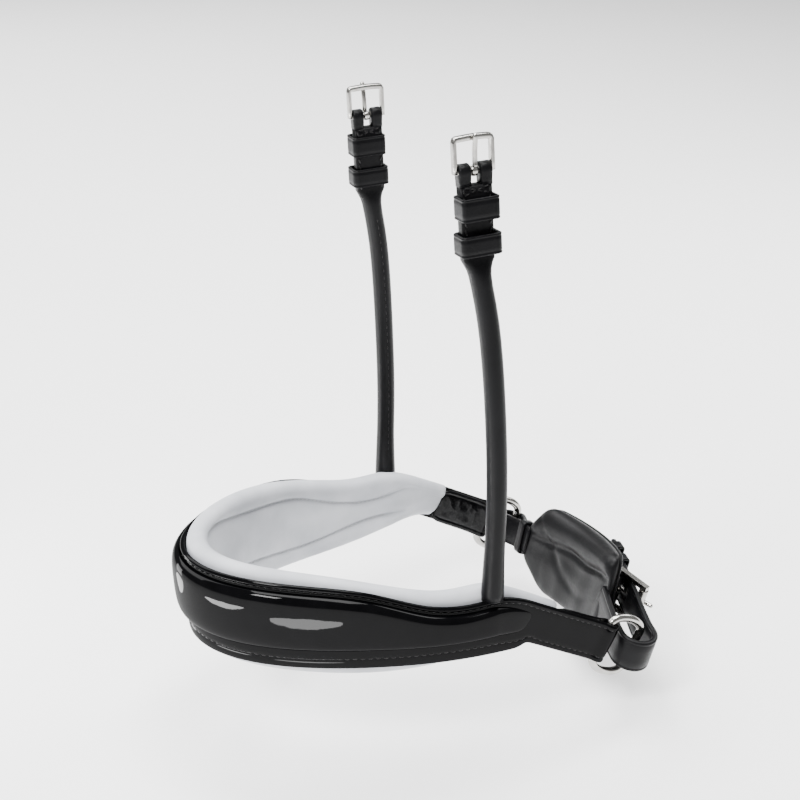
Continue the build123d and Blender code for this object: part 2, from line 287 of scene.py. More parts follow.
def texture(mat, kind, scale, **settings):
    tree = mat.node_tree
    coord = tree.nodes.get("Texture Coordinate") or tree.nodes.new("ShaderNodeTexCoord")
    node = tree.nodes.new(kind)
    node.inputs["Scale"].default_value = scale
    for key, value in settings.items():
        node.inputs[key].default_value = value
    tree.links.new(coord.outputs["Object"], node.inputs["Vector"])
    return node


def ramp(mat, source, stops):
    tree = mat.node_tree
    node = tree.nodes.new("ShaderNodeValToRGB")
    while len(node.color_ramp.elements) < len(stops):
        node.color_ramp.elements.new(0.5)
    for element, (place, colour) in zip(node.color_ramp.elements, stops):
        element.position = place
        element.color = (*colour, 1) if len(colour) == 3 else colour
    tree.links.new(source, node.inputs["Fac"])
    return node


def bumps(mat, shader, layers, coat=False):
    """Chain of bump nodes: (height output, strength, distance in mm)."""
    tree = mat.node_tree
    last = None
    for height, strength, distance in layers:
        bump = tree.nodes.new("ShaderNodeBump")
        bump.inputs["Strength"].default_value = strength
        bump.inputs["Distance"].default_value = distance * MM
        tree.links.new(height, bump.inputs["Height"])
        if last:
            tree.links.new(last.outputs["Normal"], bump.inputs["Normal"])
        last = bump
    tree.links.new(last.outputs["Normal"], shader.inputs["Normal"])
    if coat:
        tree.links.new(last.outputs["Normal"], shader.inputs["Coat Normal"])


def patent_material():
    mat, shader = material("patent", (0.001, 0.001, 0.0012), 0.3, coat=0.17, coat_rough=0.03, spec=0.0)
    wave = texture(mat, "ShaderNodeTexNoise", 55.0, Detail=1.5)
    peel = texture(mat, "ShaderNodeTexNoise", 900.0, Detail=2.0)
    bumps(mat, shader, [(wave.outputs["Fac"], 0.25, 0.9), (peel.outputs["Fac"], 0.05, 0.06)], coat=True)
    dust = texture(mat, "ShaderNodeTexNoise", 140.0, Detail=4.0)
    stops = [(0.35, (0.0008, 0.0008, 0.001)), (0.75, (0.0015, 0.0015, 0.0018))]
    shade = ramp(mat, dust.outputs["Fac"], stops)
    mat.node_tree.links.new(shade.outputs["Color"], shader.inputs["Base Color"])
    return mat


def wrinkled_patent_material():
    color = (0.0015, 0.0015, 0.0018)
    mat, shader = material("patent_wrinkled", color, 0.3, coat=0.25, coat_rough=0.06, spec=0.05)
    fold = texture(mat, "ShaderNodeTexVoronoi", 230.0)
    fine = texture(mat, "ShaderNodeTexNoise", 420.0, Detail=3.0)
    bumps(mat, shader, [(fold.outputs["Distance"], 0.5, 0.8), (fine.outputs["Fac"], 0.4, 0.5)], coat=True)
    return mat


def leather_material(name, dark, light, rough, grain, strength, coat=0.0, folds=0.0, spec=0.3):
    mat, shader = material(name, light, rough, coat=coat, coat_rough=0.25, sheen=0.0, spec=spec)
    cells = texture(mat, "ShaderNodeTexVoronoi", grain)
    fine = texture(mat, "ShaderNodeTexNoise", grain * 0.6, Detail=6.0, Roughness=0.6)
    broad = texture(mat, "ShaderNodeTexNoise", 60.0, Detail=3.0)
    # Tone varies at random with the broad noise. Where folds is set, the same noise bumps the folds, so the
    # colour is also darker in the fold hollows: painted shade there.
    shade = ramp(mat, broad.outputs["Fac"], [(0.3, dark), (0.7, light)])
    mat.node_tree.links.new(shade.outputs["Color"], shader.inputs["Base Color"])
    gloss = ramp(mat, fine.outputs["Fac"], [(0.3, (rough - 0.07,) * 3), (0.7, (rough + 0.08,) * 3)])
    mat.node_tree.links.new(gloss.outputs["Color"], shader.inputs["Roughness"])
    layers = [(cells.outputs["Distance"], strength, 0.12), (fine.outputs["Fac"], strength, 0.15)]
    if folds:
        layers.insert(0, (broad.outputs["Fac"], folds, 1.2))
    bumps(mat, shader, layers, coat=coat > 0)
    return mat


def nickel_material():
    mat, shader = material("nickel", (0.62, 0.6, 0.57), 0.2, metal=1.0)
    stretch = texture(mat, "ShaderNodeTexNoise", 300.0, Detail=4.0)
    gloss = ramp(mat, stretch.outputs["Fac"], [(0.3, (0.12, 0.12, 0.12)), (0.75, (0.24, 0.24, 0.24))])
    mat.node_tree.links.new(gloss.outputs["Color"], shader.inputs["Roughness"])
    tint = ramp(mat, stretch.outputs["Fac"], [(0.3, (0.46, 0.45, 0.43)), (0.8, (0.3, 0.29, 0.275))])
    mat.node_tree.links.new(tint.outputs["Color"], shader.inputs["Base Color"])
    bumps(mat, shader, [(stretch.outputs["Fac"], 0.08, 0.1)])
    return mat


def thread_material(name, color, rough):
    mat, shader = material(name, color, rough, spec=0.25)
    twist = texture(mat, "ShaderNodeTexWave", 1500.0, Distortion=1.0)
    bumps(mat, shader, [(twist.outputs["Fac"], 0.5, 0.1)])
    # Colour is darker where the twist wave is low, in the grooves of the bump: painted shade in the thread's
    # twist.
    shade = ramp(mat, twist.outputs["Fac"], [(0.2, tuple(c * 0.6 for c in color)), (0.8, color)])
    mat.node_tree.links.new(shade.outputs["Color"], shader.inputs["Base Color"])
    return mat


PATENT = patent_material()
WRINKLED = wrinkled_patent_material()
LINING_LEATHER = leather_material(
    "lining", (0.36, 0.37, 0.395), (0.47, 0.48, 0.505), 0.55, 2200.0, 0.12, folds=0.15, spec=0.2
)
BLACK = leather_material(
    "black_leather", (0.0018, 0.0018, 0.0021), (0.0036, 0.0036, 0.0042),
    0.36, 1900.0, 0.18, folds=0.08, spec=0.1,
)
SOFT_BLACK = leather_material(
    "pad_leather", (0.0028, 0.0028, 0.0031), (0.0048, 0.0048, 0.0053), 0.4, 1500.0, 0.2, folds=0.08, spec=0.12
)
NICKEL = nickel_material()
BLACK_THREAD = thread_material("black_thread", (0.006, 0.0055, 0.006), 0.35)
PALE_THREAD = thread_material("pale_thread", (0.6, 0.6, 0.62), 0.6)


def finish_piece(obj, mat, body, nodes=()):
    obj.data.materials.clear()
    obj.data.materials.append(mat)
    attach(obj, body)
    if nodes:
        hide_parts(*nodes)
    return obj


# ---------------------------------------------------------------- band
def plan(turn, offset):
    """Nose curve at a turn from -90 (left) to 90 (right) degrees."""
    a = math.radians(turn)
    return CHEEK_X - (CHEEK_X + offset) * math.cos(a), (HALF + offset) * math.sin(a)


TURNS = [-90 + 180 * i / 120 for i in range(121)]


def end_x(w_line_u, z):
    """x where a plane across the end strap, at u, meets height z."""
    return RING_X + (w_line_u + SIN * (z - RING_Z)) / COS


def lining_piece():
    """Padded sleeve: a roll along each edge, seams, and a flatter middle."""
    end_u = -38.4
    stations = [("tail", -1, 1 - i / 14) for i in range(14)] + [("nose", t, 0) for t in TURNS]
    stations += [("tail", 1, (i + 1) / 14) for i in range(14)]
    rings = []
    for kind, a, f in stations:

        def place(offset, height):
            if kind == "nose":
                x, y = plan(a, offset)
                return x, y, height(x)
            x = CHEEK_X
            for _ in range(3):
                z = height(x)
                x = CHEEK_X + f * (end_x(end_u, z) - CHEEK_X)
            return x, a * (HALF + offset), height(x)

        def level(x):
            """How much of the seams and middle panel shows: none past the strap's root."""
            return max(0.0, min(1.0, (112 - x) / 14)) if x > 98 else 1.0

        shrink = 5.0 * f if kind == "tail" else 0.0
        round_off = 0.0 if f < 0.93 else (f - 0.93) / 0.07 * 1.6
        top = lambda d: (lambda x: lining_top(x) - d - round_off)
        low = lambda d: (lambda x: lining_bottom(x) + d + round_off)
        up_seam = lambda d: (lambda x: min(seam_top(min(x, 104)), lining_top(x) - 5.5) + d)
        down_seam = lambda d: (lambda x: max(seam_bottom(min(x, 104)), lining_bottom(x) + 5.5) + d)
        mid = lambda v: (lambda x: up_seam(0)(x) * (1 - v) + down_seam(0)(x) * v)
        x_here = plan(a, 0)[0] if kind == "nose" else CHEEK_X + f * 28
        g = level(x_here)
        inner = lambda o: max(o, 0) + shrink + round_off * 0.5
        outer = LINING - 0.15
        ring = [
            place(outer, top(9)),
            place(outer, top(4.6)),
            place(outer - 0.7, top(2.1)),
            place(outer - 2.2, top(0.6)),
            place((outer + shrink) / 2 + 0.4, top(0.0)),
            place(inner(2.1), top(0.7)),
            place(inner(0.8), top(2.2)),
            place(inner(0.15), top(4.0)),
            place(inner(0.25 + 0.5 * g), up_seam(1.6)),
            place(inner(0.4 + 1.5 * g), up_seam(0.6)),
            place(inner(0.4 + 2.3 * g), up_seam(0)),
            place(inner(0.4 + 1.6 * g), up_seam(-0.6)),
            place(inner(0.4 + 0.7 * g), up_seam(-1.7)),
            place(inner(0.4), mid(0.3)),
            place(inner(0.3), mid(0.5)),
            place(inner(0.4), mid(0.7)),
            place(inner(0.4 + 0.7 * g), down_seam(1.7)),
            place(inner(0.4 + 1.6 * g), down_seam(0.6)),
            place(inner(0.4 + 2.3 * g), down_seam(0)),
            place(inner(0.4 + 1.5 * g), down_seam(-0.6)),
            place(inner(0.25 + 0.5 * g), down_seam(-1.6)),
            place(inner(0.15), low(4.0)),
            place(inner(0.8), low(2.2)),
            place(inner(2.1), low(0.7)),
            place((outer + shrink) / 2 + 0.4, low(0.0)),
            place(outer - 2.2, low(0.6)),
            place(outer - 0.7, low(2.1)),
            place(outer, low(4.6)),
            place(outer, low(9)),
        ]
        rings.append(ring)
    obj = Solid().loft(rings).build("padded_lining")
    obj.modifiers.new("round", "SUBSURF").levels = 1
    obj.modifiers["round"].render_levels = 1
    finish_piece(
        obj, LINING_LEATHER, "noseband",
        ("lining_skin", "lining_foam", "left_strap_root", "right_strap_root"),
    )
    seams = Solid()
    for seam in (seam_top, seam_bottom):
        run = []
        for t in TURNS:
            x, y = plan(t, 1.9)
            if x < 99:
                height = seam(x)
                run.append(Vector((x, y, height)))
        inward = lambda p: Vector((CHEEK_X - p.x, -p.y * 3, 0))
        stitches(seams, run, inward, step=2.2, length=1.3, radius=0.24)
    finish_piece(seams.build("lining_seam_stitches"), PALE_THREAD, "noseband")


class Band:
    """Edges of the patent band and its tails: stations from the left ring's fold to the right one."""

    TAIL = [
        ((101.5, 1.05), (101, -24.6)),
        ((104, 0.95), (103.5, -24.75)),
        ((107.5, 0.3), (106.5, -24.9)),
        ((111, -0.9), (109.5, -24.9)),
        ((114.5, -2.4), (111.8, -24.5)),
        ((117.5, -4.0), (113.6, -23.4)),
    ]

    def __init__(self, side):
        self.side = side

    def tail(self, u_from=-46.0, u_to=-13.0, count=12):
        """(top, bottom) pairs of (x, z) down the tail."""
        pairs = list(self.TAIL)
        for i in range(count):
            u = u_from + (u_to - u_from) * i / (count - 1)
            lean = 3.0 * (1 - i / (count - 1)) ** 2
            top, low = END @ Vector((u - lean, 0, 9)), END @ Vector((u + lean * 0.2, 0, -9))
            pairs.append(((top.x, top.z), (low.x, low.z)))
        return pairs


FOLD_ROWS = 17  # rings of the folded end that carry no border stitches


def base_piece():
    """Patent base: one ribbon from fold to fold, with a stitched border."""
    outer, inner = LINING + BASE, LINING + 0.05

    def section(place, low=4.8):
        """place takes: thickness offset 0..1, 't' or 'b', distance from that edge.

        low is the lower seam's distance from the bottom edge.
        """
        out = [
            (0.0, "t", 1.0), (0.18, "t", 0.25), (0.5, "t", 0.0), (0.82, "t", 0.25), (1.0, "t", 1.0),
            (1.0, "t", 1.7), (0.76, "t", 2.2), (1.0, "t", 2.8), (1.0, "t", 6.0),
            (1.0, "b", low + 2.0), (1.0, "b", low + 0.55), (0.78, "b", low),
            (1.0, "b", low - 0.55), (1.0, "b", 1.0),
            (0.82, "b", 0.25), (0.5, "b", 0.0), (0.18, "b", 0.25), (0.0, "b", 1.0),
            (0.0, "b", 6.0), (0.0, "t", 6.0),
        ]
        return [place(*s) for s in out]

    rows = []
    for t in TURNS:

        def place(o, anchor, d):
            x, y = plan(t, inner + (outer - inner) * o)
            sag = 1.3 * max(0.0, min(1.0, (y + 10) / 30)) * max(0.0, min(1.0, (60 - x) / 30))
            z = base_top(x) - sag - d if anchor == "t" else base_bottom(x) + d
            return Vector((x, y, z))

        rows.append(section(place))
    ends = {}
    for side in (-1, 1):
        chain = []
        for step, (top, low) in enumerate(Band(side).tail()):

            def place(o, anchor, d):
                a, b = Vector((top[0], 0, top[1])), Vector((low[0], 0, low[1]))
                across = (b - a).normalized()
                p = a + across * d if anchor == "t" else b - across * d
                return Vector((p.x, side * (HALF + inner + (outer - inner) * o), p.z))

            chain.append(section(place, max(2.6, 4.8 - 0.28 * step)))
        fold = [(-11.4, 61.45, 90), (-9.6, 62.3, 97)]
        fold += [
            (-8.2 + 3.2 * math.cos(math.radians(a)), RING_Y + 3.2 * math.sin(math.radians(a)), a)
            for a in range(84, -97, -15)
        ]
        fold += [(-11.5, 57.0, -100), (-14, 57.9, -96), (-20, 58.7, -90)]
        fold += [(-30, 58.8, -90), (-38.6, 58.75, -90)]
        for u, y, facing in fold:
            n = Vector((math.cos(math.radians(facing)), math.sin(math.radians(facing)), 0))

            def place(o, anchor, d):
                q = (o - 0.5) * 2.2
                w = 9.0 - d if anchor == "t" else -9.0 + d
                p = END @ Vector((u + n.x * q, 0, w))
                return Vector((p.x, side * (y + n.y * q), p.z))

            chain.append(section(place, 2.6))
        ends[side] = chain
    rings = list(reversed(ends[-1])) + rows + ends[1]
    obj = Solid().loft(rings).build("patent_base")
    obj.modifiers.new("round", "SUBSURF").levels = 1
    obj.modifiers["round"].render_levels = 1
    finish_piece(obj, PATENT, "noseband", ("patent_base",))
    obj.data.materials.append(WRINKLED)
    for poly in obj.data.polygons:
        c = poly.center / MM
        local = END.inverted() @ Vector(c)
        inside = abs(poly.normal.y) > 0.5 and poly.normal.y * c.y < 0
        if -39.5 < local.x < -9 and abs(c.y) < 60.2 and inside:
            poly.material_index = 1

    thread = Solid()
    for anchor in ("t", "b"):
        index = 6 if anchor == "t" else 11
        line = [ring[index] for ring in rings[FOLD_ROWS : len(rings) - FOLD_ROWS]]
        outward = lambda p: Vector((p.x - CHEEK_X if p.x < CHEEK_X else 0, p.y * 2.2, 0))
        stitches(thread, line, outward, step=3.1, radius=0.42)
    finish_piece(thread.build("border_stitches"), BLACK_THREAD, "noseband")


def panel_piece():
    """Raised patent panel: domed over the nose, fading into the tails."""
    start = LINING + BASE
    rings = []
    stations = [("tail", -1, i) for i in reversed(range(6))]
    stations += [("nose", t, 0) for t in TURNS]
    stations += [("tail", 1, i) for i in range(6)]
    for kind, a, i in stations:
        if kind == "nose":
            x0 = plan(a, start)[0]
            fade = 1.0 if x0 < 70 else 1 - 0.25 * ((x0 - 70) / 30) ** 2
        else:
            fade = 0.75 * (1 - ((i + 1) / 6) ** 1.2) + 0.01
        ring = []
        profile = [0.0, 0.016, 0.05, 0.11, 0.2, 0.36, 0.6, 0.78, 0.88, 0.945, 0.982, 1.0]
        rise = [0.0, 0.3, 0.62, 0.84, 0.95, 1.0, 1.0, 0.95, 0.84, 0.62, 0.3, 0.0]
        for v, h in list(zip(profile, rise)) + [(0.75, -0.15), (0.25, -0.15)]:
            o = start + 4.3 * h * fade - (0.1 if h <= 0 else 0)
            if kind == "nose":
                x, y = plan(a, o)
                high, low = base_top(x) - 3.0, base_bottom(x) + 9.2
                ring.append(Vector((x, y, high * (1 - v) + low * v)))
            else:
                (tx, tz), (bx, bz) = Band.TAIL[i]
                high = Vector((tx, 0, tz - 3.0 - 0.5 * i))
                low = Vector((bx, 0, bz + 9.2 - 0.3 * i))
                p = high.lerp(low, v)
                ring.append(Vector((p.x, a * (HALF + o), p.z)))
        rings.append(ring)
    obj = Solid().loft(rings).build("raised_panel")
    obj.modifiers.new("round", "SUBSURF").levels = 1
    obj.modifiers["round"].render_levels = 1
    finish_piece(obj, PATENT, "noseband", ("raised_panel", "panel_filler"))


lining_piece()
base_piece()
panel_piece()


# ---------------------------------------------------------------- cheek straps
def rounded_section(rx, ry, power, count=36, groove=0.0):
    """Superellipse; a groove marks the seam on the inner side (-Y)."""
    out = []
    for j in range(count):
        a = 2 * math.pi * j / count
        c, s = math.cos(a), math.sin(a)
        x = rx * math.copysign(abs(c) ** (2 / power), c)
        y = ry * math.copysign(abs(s) ** (2 / power), s)
        if groove and abs(x) < 0.6 and y < 0:
            y += groove * (1 - abs(x) / 0.6)
        out.append((x, y))
    return out


def strap_bow(z):
    """The strap stands out a little between root and keeper."""
    return 1.8 * math.sin(math.pi * min(max(z / 150, 0), 1))


ROLL_END = 143  # height where the rolled part flattens
SWAY = [(0, 0), (12, 0.7), (40, 2.8), (80, 3.9), (105, 3.6), (125, 2.2), (137, 0.6), (ROLL_END, 0)]
sway_curve = smooth_curve(SWAY)


def strap_sway(z):
    """Backward bow of the rolled part; none at the root or under the keepers."""
    return max(0.0, sway_curve(z)) if 0 < z < ROLL_END else 0.0


def cheek_piece(name, side):
    place = CHEEK[side]
    solid = Solid()
    levels = [(1.2, 4.7, 4.7, 2, 0), (4, 4.75, 4.7, 2, 0), (9, 4.6, 4.5, 2, 0.3), (18, 4.3, 4.2, 2, 0.4)]
    levels += [(18 + 7.2 * i, 4.12, 4.08, 2, 0.45) for i in range(1, 17)]
    levels += [(137.5, 4.3, 4.0, 2.1, 0.3), (140, 4.75, 3.5, 2.3, 0)]
    levels += [(142.3, 5.6, 2.8, 3.0, 0), (144.0, 6.3, 2.3, 6, 0)]
    levels += [(z, 6.35, 2.3, 7, 0) for z in (150, 158, 166, 171.4)]
    rings = []
    for z, rx, ry, power, groove in levels:
        lift = strap_bow(z)
        sway = strap_sway(z)
        section = rounded_section(rx, ry, power, groove=groove)
        rings.append([place @ Vector((x + sway, y + lift, z)) for x, y in section])
    solid.loft(rings)
    for s in (-1, 1):
        ear = []
        for x, shrink in ((1.95, 0.25), (2.3, 0.0), (5.9, 0.0), (6.35, 0.3)):
            edge = [(-2.3 + shrink, 171.1), (-2.3 + shrink, 173.0)]
            for a in range(198, -19, -24):
                turn = math.radians(a)
                edge.append(((2.9 - shrink) * math.cos(turn), BAR_Z + (2.9 - shrink) * math.sin(turn)))
            edge += [(2.3 - shrink, 173.0), (2.3 - shrink, 171.1)]
            ear.append([place @ Vector((s * x, y, z)) for y, z in edge])
        solid.loft(ear)
    strap = solid.build(f"{name}_rolled_strap")
    nodes = (f"{name}_cheek_strap", f"{name}_strap_core")
    finish_piece(strap, BLACK, f"{name}_cheek", nodes)

    thread = Solid()
    inward = place.to_3x3() @ Vector((0, -1, 0))
    run = [place @ Vector((strap_sway(z), strap_bow(z) - 3.75, z)) for z in range(12, 136, 4)]
    stitches(thread, run, lambda p: inward, step=3.4, length=1.9, radius=0.22)
    for face, out in ((-2.35, inward), (2.35, -inward)):
        for x in (-4.9, 4.9):
            run = [place @ Vector((x, face, z)) for z in (144.5, 150, 160, 170.5)]
            slant = math.copysign(0.35, x)
            stitches(thread, run, lambda p, o=out: o, step=2.6, length=2.2, radius=0.34, turn=slant)
            cross = [place @ Vector((x, face, 168.2)), place @ Vector((-x, face, 171.0))]
            stitches(thread, cross, lambda p, o=out: o, step=2.1, length=1.8, radius=0.3)
    finish_piece(thread.build(f"{name}_strap_stitches"), BLACK_THREAD, f"{name}_cheek")

    for kind, body, centre, back, front, gap, wall, half in (
        ("fixed_keeper", f"{name}_cheek", 163.4, 0.05, 3.2, 0.05, 1.0, 4.25),
        ("runner", f"{name}_keeper_slide", 150.0, 0.3, 2.6, 0.4, 1.35, 3.9),
    ):
        ring_solid = Solid()
        hx = 6.35 + gap + wall / 2
        y0, y1 = -2.3 - back - wall / 2, 2.3 + front + wall / 2
        loop = rounded_loop(hx, y0, y1, 1.7 if kind == "runner" else 1.2)
        path = [Vector((x, y, centre)) for x, y in loop]
        rings = ribbon_rings(path, Vector((0, 0, 1)), half, wall, closed=True, edge=0.4, groove=1.1)
        ring_solid.loft(moved(place, rings), close_path=True)
        obj = ring_solid.build(f"{name}_{kind}_band")
        finish_piece(obj, BLACK, body, (f"{name}_{kind}",))


def rounded_loop(hx, y0, y1, r, steps=7):
    """Closed rounded rectangle, a few points on each side."""
    out = []
    corners = [(hx - r, y1 - r, 0), (-hx + r, y1 - r, 90), (-hx + r, y0 + r, 180), (hx - r, y0 + r, 270)]
    for x, y, start in corners:
        for k in range(steps):
            a = math.radians(start + 90 * k / (steps - 1))
            out.append((x + r * math.cos(a), y + r * math.sin(a)))
        nx, ny, _ = corners[(start // 90 + 1) % 4]
        a = math.radians(start + 90)
        p, q = (x + r * math.cos(a), y + r * math.sin(a)), (nx + r * math.cos(a), ny + r * math.sin(a))
        out += [(p[0] * (1 - f) + q[0] * f, p[1] * (1 - f) + q[1] * f) for f in (0.25, 0.5, 0.75)]
    return out


def buckle_piece(name, side):
    place = CHEEK[side]
    solid = Solid()
    half, low, high, r = 7.3, BAR_Z - 0.6, 188.0, 1.3
    path = [(-half, low)]
    path += [(-half, low + (high - r - low) * f) for f in (0.25, 0.5, 0.75, 1.0)]
    path += [(-half + r - r * math.cos(a), high - r + r * math.sin(a)) for a in (0.3, 0.6, 0.9, 1.2, 1.5)]
    path += [
        (-half + r + (2 * half - 2 * r) * f, high + 0.25 * math.sin(math.pi * f))
        for f in (0.15, 0.3, 0.5, 0.7, 0.85)
    ]
    path += [(-x, z) for x, z in reversed(path[:10])]
    pts = [Vector((x, 0, z)) for x, z in path]
    rings = []
    for i, p in enumerate(pts):
        t = crossing(pts, i, False)
        n = Vector((t.z, 0, -t.x))
        section = rounded_section(1.45, 1.1 if p.z > high - 0.4 else 0.82, 4.0, count=20)
        rings.append([p + Vector((0, 1, 0)) * a + n * b for a, b in section])
    solid.loft(moved(place, rings))
    bar = [Vector((-half + 14.6 * f, 0, BAR_Z)) for f in (0, 0.25, 0.5, 0.75, 1)]
    solid.loft(moved(place, tube_rings(bar, 1.08, Vector((0, 0, 1)), 16)))
    finish_piece(solid.build(f"{name}_buckle"), NICKEL, f"{name}_buckle", (f"{name}_buckle_frame",))

    solid = Solid()
    eye = [
        Vector((0, 1.75 * math.cos(a), BAR_Z + 1.75 * math.sin(a)))
        for a in [math.radians(d) for d in range(-230, 60, 20)]
    ]
    shaft = [Vector((0, 1.75, BAR_Z + 1.6)), Vector((0, 1.6, BAR_Z + 4)), Vector((0, 2.0, BAR_Z + 8.5))]
    shaft += [Vector((0, 2.75, BAR_Z + 11.5)), Vector((0, 2.9, BAR_Z + 13.6))]
    rings = tube_rings(eye, 0.5, Vector((1, 0, 0)), 12, flat=1.0)
    wide = []
    for ring, c in zip(rings, eye):
        wide.append([Vector((v.x * 2.4, c.y + (v.y - c.y) * 0.9, c.z + (v.z - c.z) * 0.9)) for v in ring])
    solid.loft(moved(place, wide))
    line = catmull(shaft, 5)
    rings = tube_rings(line, 0.95, Vector((1, 0, 0)), 14)
    for k, f in ((-1, 0.45), (-2, 0.8), (-3, 0.95)):
        rings[k] = [line[k] + (v - line[k]) * f for v in rings[k]]
    solid.loft(moved(place, rings))
    finish_piece(solid.build(f"{name}_tongue"), NICKEL, f"{name}_prong", (f"{name}_buckle_tongue",))


for name, side in (("left", -1), ("right", 1)):
    cheek_piece(name, side)
    buckle_piece(name, side)


# ---------------------------------------------------------------- rings
def ring_piece(name, side):
    path = []
    for k in range(64):
        a = 2 * math.pi * k / 64
        u, w = RING_U * math.cos(a), RING_CROWN * math.sin(a)
        path.append(Vector((u, side * RING_Y, w + math.copysign(RING_W, math.sin(a)))))
    straight = []
    for p, q in zip(path, path[1:] + path[:1]):
        straight.append(p)
        if abs(p.z - q.z) > 10:
            straight += [p.lerp(q, f) for f in (0.2, 0.4, 0.6, 0.8)]
    rings = tube_rings(straight, RING_WIRE, Vector((0, 1, 0)), 20, closed=True)
    solid = Solid().loft(moved(END, rings), close_path=True)
    finish_piece(solid.build(f"{name}_oval_ring"), NICKEL, f"{name}_ring_body", (f"{name}_ring",))


for name, side in (("left", -1), ("right", 1)):
    ring_piece(name, side)


# ---------------------------------------------------------------- chin pad and straps
PAD_CORNERS = [(-36.5, 20.3), (32.5, 21.8), (42.5, 7), (42.5, -8), (26, -20.5), (-28, -20.5), (-36.5, -13)]
PAD_FRONT, PAD_FRONT_BOW, PAD_BACK_BOW, PAD_THICK = 7.0, 130.0, 86.8, 9.8
PAD_MIDDLE = (1.0, 0.0)


def pad_outline(count=120, corner=5.5):
    """Rounded outline of the pad, evenly stepped: (y, w)."""
    run = []
    n = len(PAD_CORNERS)
    for i in range(n):
        before, here, after = (Vector(PAD_CORNERS[(i + k) % n]) for k in (-1, 0, 1))
        p = here + (before - here).normalized() * min(corner, (before - here).length * 0.48)
        q = here + (after - here).normalized() * min(corner, (after - here).length * 0.48)
        for k in range(9):
            t = k / 8
            run.append(p * (1 - t) ** 2 + here * 2 * t * (1 - t) + q * t**2)
    run.append(run[0])
    step = sum((b - a).length for a, b in zip(run, run[1:])) / count
    return [(p.x, p.y) for p, _ in even([Vector((v.x, v.y, 0)) for v in run], step)]


def pad_surface(y, w, depth):
    """Point of the bowed pad; depth 0 is the front, 1 the back."""
    front = PAD_FRONT - PAD_FRONT_BOW + math.sqrt(PAD_FRONT_BOW**2 - y * y)
    rear = PAD_FRONT + PAD_THICK - PAD_BACK_BOW + math.sqrt(PAD_BACK_BOW**2 - y * y)
    return Vector((front + depth * (rear - front), y, w))


def dent(value, place, width):
    return math.exp(-(((value - place) / width) ** 2))


# Folds across the pad's front: place along y, width, depth.
PAD_FOLDS = [(-32.5, 1.2, 1.5), (-27, 3.0, 0.4), (28, 2.4, 0.6), (13, 4.5, -0.5), (-9, 6.0, -0.6)]


def pad_piece():
    """Cushion with a roll along its upper edge, soft folds and a stitched back."""
    outline = pad_outline()
    cy, cw = PAD_MIDDLE
    rows = []
    scales = [(0.06 * i, 0.0) for i in range(14)]
    scales += [(0.875, 0.03), (0.915, 0.08), (0.945, 0.15), (0.97, 0.25), (0.99, 0.38), (1.0, 0.55)]
    scales += [(0.99, 0.7), (0.965, 0.77), (0.965, 0.8), (0.99, 0.84), (0.992, 0.93), (0.97, 0.985)]
    scales += [(0.8, 1.0), (0.5, 1.0), (0.2, 1.0), (0.0, 1.0)]
    for scale, depth in scales:
        ring = []
        for oy, ow in outline:
            y, w = cy + (oy - cy) * scale, cw + (ow - cw) * scale
            u_shift = 0.0
            if depth < 0.3:
                keep = 1 - depth / 0.3
                low = 5.5 + 0.05 * (28 - y) + 0.6 * math.sin(y / 6)
                roll = max(0.0, min(1.0, (w - low) / 5.0))
                u_shift -= 1.5 * math.sin(math.pi * min(1, max(0, (w - low) / (20.5 - low)))) * keep
                u_shift += 1.9 * dent(w, low, 1.7) * (0.55 + 0.45 * dent(y, -8, 26)) * keep
                u_shift += 1.2 * (1 - roll) * dent(w, low - 4, 6) * keep
                for place, width, deep in PAD_FOLDS:
                    bend = place + 0.10 * (w - 3) + 1.2 * math.sin(w / 5 + place)
                    u_shift += deep * dent(y, bend, width) * (1 - 0.75 * roll) * keep
                u_shift += 0.8 * dent(w, -9 + 0.016 * (y + 6) ** 2, 2.2) * keep
            p = pad_surface(y, w, depth)
            ring.append(Vector((p.x + u_shift, p.y, p.z)))
        rows.append(ring)
    solid = Solid()
    solid.loft(moved(PAD, rows), caps=False)
    obj = solid.build("chin_pad")
    obj.modifiers.new("round", "SUBSURF").levels = 1
    obj.modifiers["round"].render_levels = 1
    nodes = ("chin_pad_cover", "chin_pad_foam", "chin_pad_back")
    finish_piece(obj, SOFT_BLACK, "chin", nodes)
    thread = Solid()
    run = []
    for y, w in outline + outline[:1]:
        run.append(PAD @ pad_surface(cy + (y - cy) * 0.92, cw + (w - cw) * 0.92, 1.0))
    back = PAD.to_3x3() @ Vector((1, 0, 0))
    stitches(thread, run, lambda p: back, step=3.2, radius=0.35)
    finish_piece(thread.build("chin_pad_stitches"), BLACK_THREAD, "chin")


def right_strap_piece():
    n, r, gap = 3.4, 5.9, 1.15
    tu, ty, tw = 2.9, 61.0, 0.8
    line = [(n - gap, 38.8), (n - gap, 44), (n - gap, 49), (n - 3.6, 55)]
    turn = [math.radians(d) for d in range(0, 181, 20)]
    line += [(tu - r * math.cos(a), ty + r * math.sin(a)) for a in turn]
    line += [(n + gap + 2.3, 55), (n + gap, 49), (n + gap, 44), (n + gap, 38.8)]
    path = catmull([(u, y, tw) for u, y in line], 4)
    rings = ribbon_rings(path, Vector((0, 0, 1)), 7.0, 2.2, edge=0.5, groove=1.4)
    obj = Solid().loft(moved(PAD, rings)).build("right_chin_billet")
    finish_piece(obj, BLACK, "chin", ("right_chin_strap",))
    loop = rounded_loop(3.0, -7.75, 7.75, 1.4)
    path = [Vector((n + x, 45.0, tw + w)) for x, w in loop]
    rings = ribbon_rings(path, Vector((0, 1, 0)), 2.6, 1.3, closed=True, edge=0.45)
    obj = Solid().loft(moved(PAD, rings), close_path=True).build("right_chin_band")
    finish_piece(obj, BLACK, "chin", ("right_chin_keeper",))


CRANK_TAIL_U, CRANK_TAIL_Y, CRANK_TAIL_SLOPE = 12.5, 38, 0.16
CRANK_THICK = 2.4
CRANK_SLOT = (8.5, 30.3, -1.7), (14.7, 41.2, 1.7)


